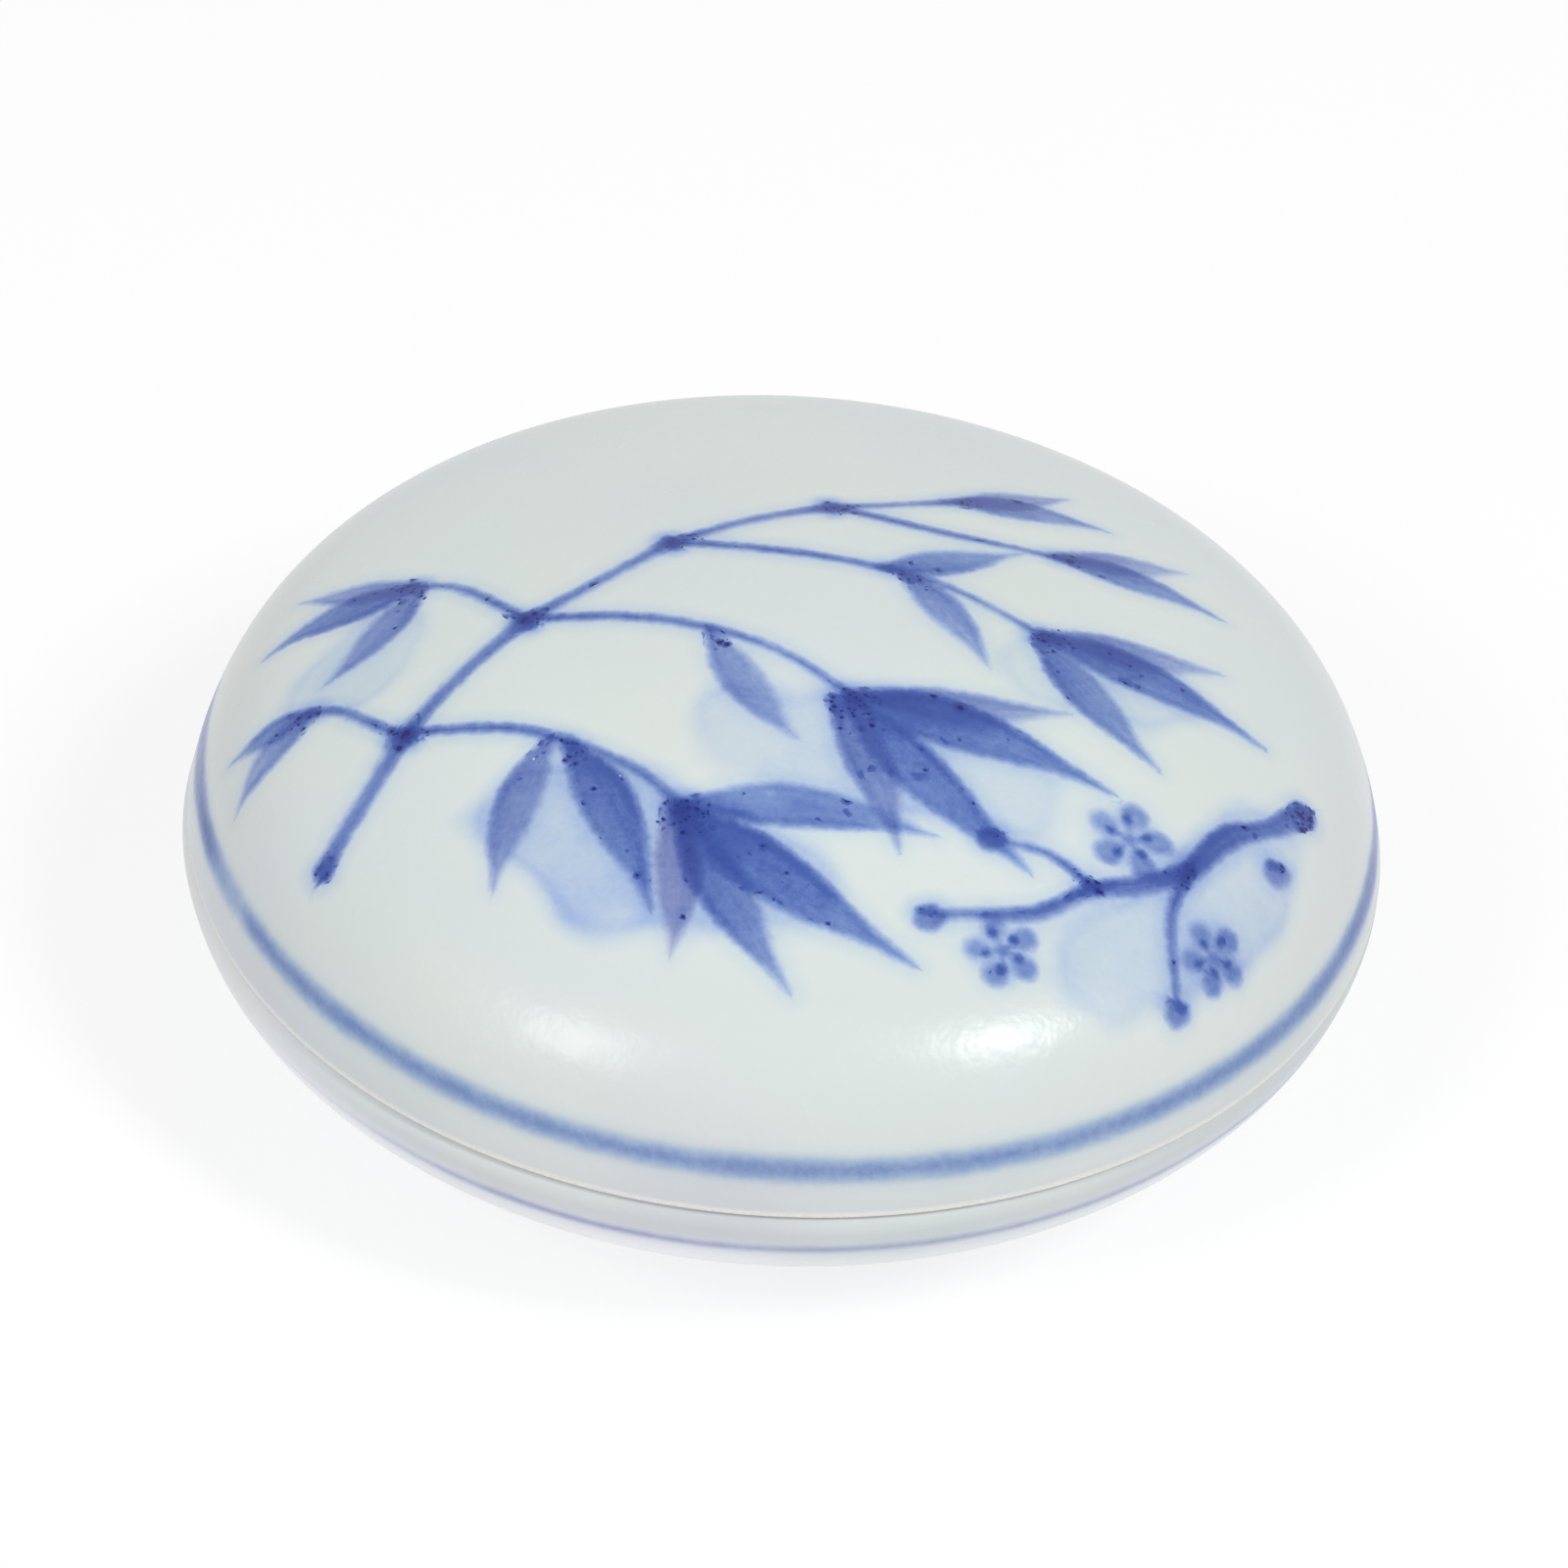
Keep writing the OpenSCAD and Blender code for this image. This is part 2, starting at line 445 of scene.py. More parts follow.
def dab(layer, a, b, size, load):
    return layer, [(*a, size, load), (*b, size, load)], 0.0, 0.0


def blossomStrokes(x, y, size, turn):
    def at(degrees, share):
        a = math.radians(degrees)
        return x + math.cos(a) * size * share, y + math.sin(a) * size * share

    strokes = []
    for k in range(5):
        # a petal is dabbed from its rim inwards
        middle = turn + 72 * k
        petal = [(*at(middle, 0.8), size * 0.33, 0.34), (*at(middle, 0.62), size * 0.3, 0.26),
                 (*at(middle, 0.3), size * 0.12, 0.2)]
        strokes.append((0 if k % 2 else 2, petal, 0.1, 0.0))
        # a stamen and the dot at its end
        beside = middle + 14
        tip = at(beside, 0.5 + 0.1 * (k % 2))
        strokes.append(dab(3, at(beside, 0.12), tip, 0.08, 0.3))
        strokes.append(dab(1, tip, (tip[0], tip[1] + 0.1), 0.2, 0.95))
    strokes.append(dab(1, (x - 0.1, y), (x + 0.1, y), 0.3, 0.6))
    return strokes


def plumStrokes():
    branch = [(42.0, -11.0, 1.2, 0.85), (38.6, -14.6, 0.8, 0.6), (35.2, -17.0, 1.05, 0.8),
              (31.8, -21.8, 0.75, 0.95), (28.0, -24.6, 0.85, 0.6), (24.2, -26.2, 0.6, 0.8),
              (19.6, -29.6, 0.58, 0.7), (12.8, -31.2, 0.34, 0.5)]
    down = [(31.9, -21.6, 0.55, 0.8), (30.6, -27.0, 0.38, 0.6), (31.9, -33.0, 0.3, 0.55)]
    across = [(24.4, -26.0, 0.42, 0.8), (20.6, -23.9, 0.3, 0.6), (17.0, -23.6, 0.26, 0.5)]
    strokes = [(1, branch, 0.15, 1.0), (3, down, 0.2, 0.6), (3, across, 0.1, 0.6)]
    for blossom in ((26.9, -20.5, 3.2, 10), (17.4, -33.4, 2.8, 40), (34.8, -28.6, 2.8, -10)):
        strokes += blossomStrokes(*blossom)
    for x, y, size in ((11.4, -31.8, 1.05), (32.3, -34.4, 1.0), (39.6, -18.6, 1.2), (15.8, -23.8, 0.95)):
        bud = [(x, y, size, 0.42), (x + 0.5, y + 0.4, size * 0.8, 0.5)]
        cap = [(x - size * 0.5, y + size * 0.6, 0.22, 0.8), (x + size * 0.4, y + size * 0.75, 0.2, 0.7)]
        strokes += [(0, bud, 0.2, 0.0), (3, cap, 0.0, 0.5)]
    return strokes


def washStrokes():
    # pale pools of thinned cobalt laid under the strokes, in two layers
    return [
        (0, [(-20.0, -24.0, 4.5, 0.16), (-11.0, -27.0, 7.0, 0.2), (-1.0, -31.0, 4.5, 0.12)]),
        (1, [(-2.0, -15.0, 4.0, 0.1), (7.0, -17.5, 6.5, 0.15), (17.0, -18.0, 4.5, 0.1)]),
        (0, [(26.0, -33.0, 5.0, 0.12), (34.0, -25.0, 6.0, 0.15), (38.5, -16.0, 3.5, 0.1)]),
        (1, [(-33.0, -1.0, 3.4, 0.08), (-36.0, -5.0, 4.0, 0.11)]),
        (0, [(20.0, -5.0, 3.5, 0.07), (28.0, -4.0, 4.2, 0.1)]),
    ]


def smoothPath(points, spacing):
    # a rounded curve through the control points
    p = np.array(points, float)
    p = np.vstack([2 * p[0] - p[1], p, 2 * p[-1] - p[-2]])
    path = []
    for a, b, c, d in zip(p[:-3], p[1:-2], p[2:-1], p[3:]):
        second = 2 * a - 5 * b + 4 * c - d
        third = 3 * b - a - 3 * c + d
        steps = max(2, int(math.dist(b[:2], c[:2]) / spacing))
        for t in np.linspace(0, 1, steps, endpoint=False):
            path.append(0.5 * (2 * b + (c - a) * t + second * t ** 2 + third * t ** 3))
    path.append(p[-2])
    path = np.array(path)
    path[:, 2] = np.maximum(path[:, 2], 0.03)
    path[:, 3] = np.maximum(path[:, 3], 0)
    return path


farOff = 9.0  # mm from a stroke at which nothing of it shows


def paintLayer(flat, strokes, spacing=0.8):
    # for each point of the mesh: how far it is outside the nearest stroke, and that stroke's values there
    n = len(flat)
    edge = np.full(n, farOff)
    across = np.full(n, farOff)
    half, along, share, load, violet, heap, side = (np.zeros(n) for _ in range(7))
    for number, (points, strokeViolet, strokeHeap) in enumerate(strokes):
        path = smoothPath(points, spacing)
        low = path[:, :2].min(0) - farOff
        high = path[:, :2].max(0) + farOff
        near = np.where(((flat > low) & (flat < high)).all(1))[0]
        if len(near) == 0:
            continue
        p = flat[near]
        best = np.full(len(near), 99.0)
        found = np.zeros((len(near), 4))
        run = 0.0
        # only a stroke of some length has two sides, a dab is round
        isLong = np.hypot(*(path[1:, :2] - path[:-1, :2]).T).sum() > 3.5
        for a, b in zip(path[:-1], path[1:]):
            way = b[:2] - a[:2]
            length = max(float(np.hypot(*way)), 1e-6)
            t = np.clip((p - a[:2]) @ way / length ** 2, 0, 1)
            off = p - a[:2] - t[:, None] * way
            gap = np.hypot(off[:, 0], off[:, 1])
            wide = a[2] + t * (b[2] - a[2])
            closer = gap - wide < best
            best[closer] = (gap - wide)[closer]
            hand = np.sign(way[0] * off[:, 1] - way[1] * off[:, 0]) if isLong else 1
            values = np.stack([gap * hand, wide, run + t * length, a[3] + t * (b[3] - a[3])], 1)
            found[closer] = values[closer]
            run += length
        closer = best < edge[near]
        here = near[closer]
        edge[here] = best[closer]
        across[here], half[here], along[here], load[here] = found[closer].T
        share[here] = found[closer, 2] / max(run, 1e-6)
        violet[here] = strokeViolet
        heap[here] = strokeHeap
        side[here] = 1 if number % 3 else -1
    stroke = np.stack([edge, across, half], 1)
    path = np.stack([along, share, load], 1)
    touch = np.stack([violet, heap, side], 1)
    return stroke, path, touch


def unrollDome(co):
    # how far each point of the lid is from the crown along the outside, and whether it is on the outside
    d = lidShape
    x = d["radius"] - d["shoulder"]
    crown = crownRadius(x, d["height"], d["shoulder"])
    meet = math.atan2(crown - d["height"], x)
    joinR = crown * math.cos(meet)
    r = np.hypot(co[:, 0], co[:, 1])
    up = co[:, 2] - seam
    onCrown = crown * np.arcsin(np.clip(r / crown, 0, 1))
    phi = np.arctan2(up, r - x)
    onShoulder = crown * (math.pi / 2 - meet) + d["shoulder"] * (meet - phi)
    s = np.where(r < joinR, onCrown, onShoulder)
    fromCrown = np.hypot(r, up + crown - d["height"])
    fromShoulder = np.hypot(r - x, up)
    skin = 1.0
    outside = np.where(r < joinR, fromCrown > crown - skin, fromShoulder > d["shoulder"] - skin)
    outside &= up > skin
    k = s / np.maximum(r, 1e-6)
    return co[:, :2] * k[:, None], outside


def keepField(mesh, name, where, values, elsewhere):
    everywhere = np.tile(np.array(elsewhere, float), (len(where), 1))
    everywhere[where] = values
    attribute = mesh.attributes.new(name, "FLOAT_VECTOR", "POINT")
    attribute.data.foreach_set("vector", everywhere.astype(np.float32).ravel())


def paintLid(piece):
    mesh = piece.data
    flat, outside = unrollDome(pointsOf(mesh))
    strokes = culmStrokes() + twigStrokes() + leafStrokes() + plumStrokes()
    for layer in range(4):
        mine = [s[1:] for s in strokes if s[0] == layer]
        fields = paintLayer(flat[outside], mine)
        for name, values in zip(("stroke", "path", "touch"), fields):
            elsewhere = (farOff, farOff, 0) if name == "stroke" else (0, 0, 0)
            keepField(mesh, name + str(layer), outside, values, elsewhere)
    for layer in range(2):
        mine = [(points, 0, 0) for number, points in washStrokes() if number == layer]
        stroke, path, _ = paintLayer(flat[outside], mine, 1.6)
        pool = np.stack([stroke[:, 0], path[:, 2], np.zeros(len(stroke))], 1)
        keepField(mesh, "wash" + str(layer), outside, pool, (farOff, 0, 0))
    print("painted", len(strokes), "strokes")


# materials, where positions are in mm

white = (1, 1, 1, 1)


def linear(colour):
    return [c / 255 / 12.92 if c <= 10.31 else ((c / 255 + 0.055) / 1.055) ** 2.4 for c in colour]


def rgba(colour):
    return (*linear(colour), 1)


def fill(tree, slot, value):
    if hasattr(value, "is_linked"):
        tree.links.new(value, slot)
    else:
        slot.default_value = value


def feed(tree, node, values):
    for slot, value in values.items():
        fill(tree, node.inputs[slot], value)


def makeNode(tree, kind, values):
    node = tree.nodes.new("ShaderNode" + kind)
    feed(tree, node, values)
    return node


def calc(tree, operation, *values):
    node = makeNode(tree, "Math", dict(enumerate(values)))
    node.operation = operation
    return node.outputs[0]


def plus(tree, a, b):
    return calc(tree, "ADD", a, b)


def minus(tree, a, b):
    return calc(tree, "SUBTRACT", a, b)


def fold(tree, operation, values):
    # all the values into one
    result = values[0]
    for value in values[1:]:
        result = calc(tree, operation, result, value)
    return result


def times(tree, *values):
    return fold(tree, "MULTIPLY", values)


def timesPlus(tree, a, b, c):
    return calc(tree, "MULTIPLY_ADD", a, b, c)


def sizeOf(tree, value):
    return calc(tree, "ABSOLUTE", value)


def larger(tree, a, b):
    return calc(tree, "MAXIMUM", a, b)


def isUnder(tree, value, limit):
    return calc(tree, "LESS_THAN", value, limit)


def vectorCalc(tree, operation, a, b):
    node = makeNode(tree, "VectorMath", {0: a, 1: b})
    node.operation = operation
    return node.outputs[0]


def fade(tree, value, full, none):
    # 1 at full, 0 at none, smooth between
    values = {"Value": value, "From Min": full, "From Max": none, "To Min": 1, "To Max": 0}
    node = makeNode(tree, "MapRange", values)
    node.interpolation_type = "SMOOTHSTEP"
    return node.outputs["Result"]


def spread(tree, value, low, high):
    # turns 0..1 into low..high
    return makeNode(tree, "MapRange", {"Value": value, "To Min": low, "To Max": high}).outputs["Result"]


def noise(tree, vector, scale, detail=2.0, roughness=0.5):
    values = {"Vector": vector, "Scale": scale, "Detail": detail, "Roughness": roughness}
    return makeNode(tree, "TexNoise", values).outputs["Fac"]


def vary(tree, vector, low, high, scale, detail=2.0, roughness=0.5):
    return spread(tree, noise(tree, vector, scale, detail, roughness), low, high)


def cellsOf(tree, vector, scale):
    # the distance from the nearest cell's middle, and three random values of that cell
    node = makeNode(tree, "TexVoronoi", {"Vector": vector, "Scale": scale})
    return node.outputs["Distance"], axes(tree, node.outputs["Color"])


def mixColour(tree, factor, a, b, mode="MIX"):
    node = tree.nodes.new("ShaderNodeMix")
    node.data_type = "RGBA"
    node.blend_type = mode
    feed(tree, node, {0: factor, 6: a, 7: b})
    return node.outputs[2]


def mixValue(tree, factor, a, b):
    return makeNode(tree, "Mix", {0: factor, 2: a, 3: b}).outputs[0]


def ramp(tree, value, stops):
    node = makeNode(tree, "ValToRGB", {"Fac": value})
    points = node.color_ramp.elements
    while len(points) < len(stops):
        points.new(0.5)
    for point, (position, colour) in zip(points, stops):
        point.position = position
        point.color = colour
    return node.outputs["Color"]


def axes(tree, vector):
    return makeNode(tree, "SeparateXYZ", {0: vector}).outputs


def combine(tree, x, y, z):
    return makeNode(tree, "CombineXYZ", {0: x, 1: y, 2: z}).outputs[0]


def shiftBy(tree, where, seed):
    return vectorCalc(tree, "ADD", where, combine(tree, seed, seed, seed))


def fromAxis(tree, place):
    x = times(tree, place[0], place[0])
    y = times(tree, place[1], place[1])
    return calc(tree, "SQRT", plus(tree, x, y))


def newGroup(name, inputs, outputs):
    # a name with Color in it is a colour, and Position and the stroke fields are vectors
    group = bpy.data.node_groups.new(name, "ShaderNodeTree")
    vectors = ("Position", "Stroke", "Path", "Touch")
    for side, labels in (("INPUT", inputs), ("OUTPUT", outputs)):
        for label in labels:
            kind = "NodeSocketColor" if "Color" in label else "NodeSocketFloat"
            kind = "NodeSocketVector" if label in vectors else kind
            group.interface.new_socket(name=label, in_out=side, socket_type=kind)
    start = group.nodes.new("NodeGroupInput")
    end = group.nodes.new("NodeGroupOutput")
    return group, start.outputs, end


def useGroup(tree, name, where, values):
    node = tree.nodes.new("ShaderNodeGroup")
    node.node_tree = groups[name]
    feed(tree, node, {"Position": where, **values})
    return node.outputs


glaze = {
    "colour": (220, 229, 226),
    "edge": (209, 213, 213),  # painted shade and a painted reflection tint over the lid's shoulder
    "rim": (203, 206, 210),  # and darker painted shade under the lid's ring
    "base": (238, 240, 245),  # the base's own glaze, painted paler lower on the wall as light from the floor
    "baseLeft": (235, 236, 235),
    "ledge": (199, 202, 206),  # painted shade at the base's ledge, against the light its round top catches
    "roughness": 0.25,
    "ripple": 0.05,  # mm
    "shine": 0.36,  # specular level
    # faint clouds of other tints: colour, noise scale, where the noise starts, full, none, share
    "clouds": [
        ((211, 223, 217), 0.03, (0, 0, 0), 0.62, 0.4, 0.35),
        ((222, 225, 219), 0.034, (71, 13, 29), 0.64, 0.44, 0.28),
        ((211, 221, 228), 0.042, (-37, 53, 11), 0.66, 0.44, 0.28),
    ],
    "pinhole": (150, 140, 122),
}


def glazeGroup():
    # cloudy celadon-white glaze with pinholes and a faint ripple
    tree, start, end = newGroup("clearGlaze", ["Position", "Main Glaze Color", "Painted Shade Color", "Painted Shade"],
                                ["Color", "Roughness", "Height"])
    where = start["Position"]
    g = glaze
    # the glaze colour mixed towards a painted shade colour
    colour = mixColour(tree, start["Painted Shade"], start["Main Glaze Color"], start["Painted Shade Color"])
    for tint, scale, shift, full, none, share in g["clouds"]:
        cloud = noise(tree, vectorCalc(tree, "ADD", where, shift), scale, 1.5)
        amount = times(tree, fade(tree, cloud, full, none), share)
        colour = mixColour(tree, amount, colour, rgba(tint))
    mottle = vary(tree, where, 0.972, 0.993, 1.6, 3.0, 0.6)
    colour = mixColour(tree, 1.0, colour, mottle, "MULTIPLY")

    # pinholes and kiln dust, in half of the cells
    distance, pick = cellsOf(tree, where, 0.2)
    hole = isUnder(tree, distance, times(tree, pick[1], 0.022))
    hole = times(tree, hole, isUnder(tree, pick[0], 0.5))
    colour = mixColour(tree, times(tree, hole, 0.35), colour, rgba(g["pinhole"]))

    rough = vary(tree, where, g["roughness"] - 0.04, g["roughness"] + 0.05, 0.25, 3.0)
    ripple = times(tree, noise(tree, where, 0.55), g["ripple"])
    fine = times(tree, noise(tree, where, 2.2), g["ripple"] * 0.16)
    feed(tree, end, {"Color": colour, "Roughness": rough, "Height": plus(tree, ripple, fine)})
    return tree


brush = {
    "softness": 0.5,  # mm that an edge takes to fade
    "ragged": 0.256,  # mm that an edge wanders
    "streak": 0.26,
    "blot": 0.34,
    "pool": 0.14,  # how much darker the cobalt dries just inside an edge
    "halo": 0.16,
    "haloReach": 2.0,  # mm
    "side": 0.28,  # how much darker one side of a stroke is
}


def brushGroup():
    # one layer of brush strokes, from the fields painted on the mesh
    tree, start, end = newGroup("brushLayer", ["Stroke", "Path", "Touch", "Position", "Seed"],
                                ["Density", "Violet", "Heap"])
    b = brush
    distance, across, half = axes(tree, start["Stroke"])
    along, share, load = axes(tree, start["Path"])
    violet, heap, side = axes(tree, start["Touch"])
    where = shiftBy(tree, start["Position"], start["Seed"])
    # the signed distance holds thin lines that are finer than the mesh, the other one ends them
    edge = minus(tree, sizeOf(tree, across), half)
    edge = larger(tree, edge, minus(tree, distance, 0.27))
    edge = plus(tree, edge, vary(tree, where, -b["ragged"], b["ragged"], 0.9, 3.0, 0.6))
    inside = fade(tree, edge, -b["softness"], b["softness"])

    # hair streaks run along the stroke and open towards its tip
    lane = combine(tree, times(tree, along, 0.14), times(tree, across, 1.5), start["Seed"])
    streak = vary(tree, lane, -b["streak"], b["streak"], 1.0, 3.0, 0.6)
    opening = timesPlus(tree, times(tree, share, share), 1.6, 0.7)
    streak = timesPlus(tree, streak, opening, 1.0)
    blot = vary(tree, where, 1 - b["blot"], 1 + b["blot"], 0.35)
    # the cobalt pools just inside its edge, and one side of the brush carries more
    pool = fade(tree, sizeOf(tree, plus(tree, edge, 0.6)), 0.0, 0.5)
    pool = timesPlus(tree, pool, b["pool"], 0.95)
    lean = calc(tree, "DIVIDE", across, larger(tree, half, 0.5))
    lean = larger(tree, calc(tree, "MINIMUM", lean, 1.0), -1.0)
    lean = timesPlus(tree, times(tree, lean, side), b["side"], 1.0)
    body = times(tree, streak, blot, pool, lean, inside, load)
    halo = times(tree, fade(tree, edge, -0.3, b["haloReach"]), load, b["halo"])
    head = fade(tree, along, 0.8, 2.8)
    feed(tree, end, {"Density": plus(tree, body, halo), "Violet": times(tree, violet, inside, load),
                     "Heap": times(tree, head, inside, heap)})
    return tree


def washGroup():
    # thinned cobalt, a little darker where the pool dried at its edge
    tree, start, end = newGroup("paleWash", ["Stroke", "Position", "Seed"], ["Density"])
    distance, load, _ = axes(tree, start["Stroke"])
    where = shiftBy(tree, start["Position"], start["Seed"])
    soft = 1.5
    edge = plus(tree, distance, vary(tree, where, -5.0, 5.0, 0.08, 1.5))
    inside = fade(tree, edge, -soft, soft)
    rim = fade(tree, sizeOf(tree, plus(tree, edge, 0.8)), 0.0, 1.1)
    rim = timesPlus(tree, rim, 0.32, 0.87)
    cloud = vary(tree, where, 0.3, 1.7, 0.14)
    feed(tree, end, {"Density": times(tree, inside, rim, cloud, load)})
    return tree


# from the brush's touch to its lift: part of the turn, load, width, and height (0.5 is level, 1 is 1.5 mm up)
ringLap = [
    (0.0, 0.6, 1.0, 0.5), (0.008, 1.15, 0.95, 0.5), (0.05, 1.06, 0.98, 0.52), (0.15, 1.0, 1.0, 0.52),
    (0.25, 0.98, 1.03, 0.54), (0.34, 1.15, 1.1, 0.5), (0.4, 1.8, 1.3, 0.49), (0.46, 1.1, 1.1, 0.5),
    (0.86, 1.05, 1.15, 0.49), (0.93, 1.5, 1.6, 0.34), (0.955, 1.8, 1.25, 0.42), (0.964, 2.3, 1.05, 0.41),
    (0.975, 1.7, 1.1, 0.42), (0.984, 0.9, 1.2, 0.44), (1.0, 0.6, 1.3, 0.5),
]


def ringGroup():
    # a ring drawn with a loaded brush while the piece turns on the wheel, lapping where it closes
    tree, start, end = newGroup("paintedRing", ["Position", "Height", "Tilt X", "Tilt Y", "Half Width",
                                                "Softness", "Load", "Start"], ["Density"])
    where = start["Position"]
    place = axes(tree, where)
    turn = calc(tree, "DIVIDE", calc(tree, "ARCTAN2", place[1], place[0]), 2 * math.pi)
    turn = calc(tree, "FRACT", plus(tree, minus(tree, turn, start["Start"]), 2.0))
    lapLoad, lapWidth, lapHeight = axes(tree, ramp(tree, turn, [(k[0], (*k[1:], 1)) for k in ringLap]))

    tilt = plus(tree, times(tree, place[0], start["Tilt X"]), times(tree, place[1], start["Tilt Y"]))
    middle = plus(tree, plus(tree, start["Height"], tilt), vary(tree, where, -0.2, 0.2, 0.05))
    middle = plus(tree, middle, timesPlus(tree, lapHeight, 3.0, -1.5))
    off = sizeOf(tree, minus(tree, place[2], middle))
    wide = times(tree, start["Half Width"], lapWidth, vary(tree, where, 0.72, 1.28, 0.12))
    edge = plus(tree, minus(tree, off, wide), vary(tree, where, -0.1, 0.1, 0.9))
    soft = start["Softness"]
    inside = fade(tree, edge, times(tree, soft, -1.0), soft)
    load = times(tree, start["Load"], lapLoad, vary(tree, where, 0.72, 1.28, 0.3, 3.0, 0.6))
    # only on the outside, not on the wall's inner face
    load = times(tree, load, fade(tree, fromAxis(tree, place), 45.4, 44.6))
    halo = times(tree, fade(tree, edge, 0.0, 1.5), 0.14)
    feed(tree, end, {"Density": times(tree, load, plus(tree, inside, halo))})
    return tree


def heapGroup():
    # grains of cobalt that fired nearly black where the brush was pressed or crossed,
    # and painted glints, highlights of burst bubbles painted into the colour
    tree, start, end = newGroup("heapedCobalt", ["Position", "Density", "Heap"], ["Grain", "Bloom", "Glint"])
    grains, blooms = [], []
    dense = fade(tree, start["Density"], 1.1, 0.45)
    for scale, size, share in ((0.7, 0.22, 0.04), (1.3, 0.29, 0.035), (2.4, 0.32, 0.02)):
        distance, pick = cellsOf(tree, start["Position"], scale)
        chance = plus(tree, times(tree, dense, share), times(tree, start["Heap"], 0.7))
        there = isUnder(tree, pick[0], chance)
        reach = timesPlus(tree, pick[1], size * 0.6, size * 0.7)
        grain = fade(tree, distance, times(tree, reach, 0.7), times(tree, reach, 1.25))
        around = fade(tree, distance, reach, times(tree, reach, 3.0))
        grains.append(times(tree, grain, there))
        blooms.append(times(tree, around, there))
    distance, pick = cellsOf(tree, start["Position"], 1.3)
    chance = times(tree, fade(tree, start["Density"], 1.1, 0.6), 0.02)
    chance = timesPlus(tree, start["Heap"], 0.16, chance)
    glint = times(tree, isUnder(tree, pick[2], chance), fade(tree, distance, 0.07, 0.13))
    feed(tree, end, {"Grain": fold(tree, "MAXIMUM", grains), "Bloom": fold(tree, "MAXIMUM", blooms),
                     "Glint": glint})
    return tree


# how deep the cobalt lies, and what plain and violet cobalt look like there over the glaze
cobaltDepths = [
    (0.086, (199, 215, 229), (205, 210, 221)),
    (0.2, (166, 189, 224), (179, 183, 206)),
    (0.362, (121, 148, 203), (139, 141, 184)),
    (0.491, (93, 121, 188), (112, 114, 170)),
    (0.593, (65, 95, 172), (88, 88, 154)),
    (0.741, (47, 77, 160), (64, 66, 136)),
    (0.835, (32, 63, 150), (46, 50, 124)),
    (1.0, (12, 42, 130), (24, 30, 104)),
]
grainColour = (0, 9, 100)
glintColour = (240, 243, 250)


def overGlaze(colour):
    # what tints the plain glaze to this colour
    return (*[min(a / b, 1) for a, b in zip(linear(colour), linear(glaze["colour"]))], 1)


def cobaltGroup():
    # the colour that a density of cobalt gives under the glaze
    tree, start, end = newGroup("cobaltUnderGlaze", ["Position", "Glaze Color", "Density", "Violet", "Grain",
                                                     "Glint"], ["Color"])
    density = times(tree, start["Density"], vary(tree, start["Position"], 0.64, 1.36, 1.7, 5.0, 0.72))
    # strokes over each other darken less and less
    depth = minus(tree, 1.0, calc(tree, "EXPONENT", times(tree, density, -0.9)))
    blue = ramp(tree, depth, [(0.0, white)] + [(d, overGlaze(plain)) for d, plain, _ in cobaltDepths])
    plum = ramp(tree, depth, [(0.0, white)] + [(d, overGlaze(violet)) for d, _, violet in cobaltDepths])
    tint = mixColour(tree, start["Violet"], blue, plum)
    colour = mixColour(tree, 1.0, start["Glaze Color"], tint, "MULTIPLY")
    colour = mixColour(tree, times(tree, start["Grain"], 0.98), colour, rgba(grainColour))
    # painted highlights, the glints of burst bubbles
    colour = mixColour(tree, times(tree, start["Glint"], 0.9), colour, rgba(glintColour))
    feed(tree, end, {"Color": colour})
    return tree


clay = {
    "dark": (221, 218, 212),
    "middle": (230, 229, 225),
    "pale": (239, 239, 236),
    "speck": (120, 92, 66),
    "grain": 0.03,  # mm
}


def clayGroup():
    # bare fired clay where the glaze was wiped off
    tree, start, end = newGroup("bareClay", ["Position"], ["Color", "Roughness", "Height"])
    where = start["Position"]
    grain = noise(tree, where, 4.0, 4.0, 0.65)
    tones = [(0.3, rgba(clay["dark"])), (0.5, rgba(clay["middle"])), (0.7, rgba(clay["pale"]))]
    distance, pick = cellsOf(tree, where, 1.1)
    speck = times(tree, isUnder(tree, distance, 0.13), isUnder(tree, pick[0], 0.12))
    colour = mixColour(tree, times(tree, speck, 0.6), ramp(tree, grain, tones), rgba(clay["speck"]))
    feed(tree, end, {"Color": colour, "Roughness": spread(tree, grain, 0.62, 0.82),
                     "Height": times(tree, grain, clay["grain"])})
    return tree


def emptyTree(owner, outputKind):
    owner.use_nodes = True
    tree = owner.node_tree
    tree.nodes.clear()
    return tree, tree.nodes.new("ShaderNodeOutput" + outputKind)


def startMaterial(name):
    material = bpy.data.materials.new(name)
    tree, output = emptyTree(material, "Material")
    shader = tree.nodes.new("ShaderNodeBsdfPrincipled")
    fill(tree, output.inputs[0], shader.outputs[0])
    coordinates = tree.nodes.new("ShaderNodeTexCoord")
    where = vectorCalc(tree, "MULTIPLY", coordinates.outputs["Object"], (1000, 1000, 1000))
    return material, tree, shader, where


def bumpFrom(tree, height, shader):
    # the height comes in mm
    node = makeNode(tree, "Bump", {"Strength": 1.0, "Distance": mm, "Height": height})
    fill(tree, shader.inputs["Normal"], node.outputs[0])


def readField(tree, name):
    node = tree.nodes.new("ShaderNodeAttribute")
    node.attribute_name = name
    return node.outputs["Vector"]


def lidPainting(tree, where):
    densities, violets, heaps = [], [], []
    for layer in range(4):
        values = {"Seed": 17.0 * layer + 3}
        for name in ("Stroke", "Path", "Touch"):
            values[name] = readField(tree, name.lower() + str(layer))
        got = useGroup(tree, "brush", where, values)
        densities.append(got["Density"])
        violets.append(got["Violet"])
        heaps.append(got["Heap"])
    for layer in range(2):
        pool = readField(tree, "wash" + str(layer))
        got = useGroup(tree, "wash", where, {"Stroke": pool, "Seed": 11.0 * layer + 5})
        densities.append(got["Density"])
    return fold(tree, "ADD", densities), fold(tree, "ADD", violets), fold(tree, "MAXIMUM", heaps)


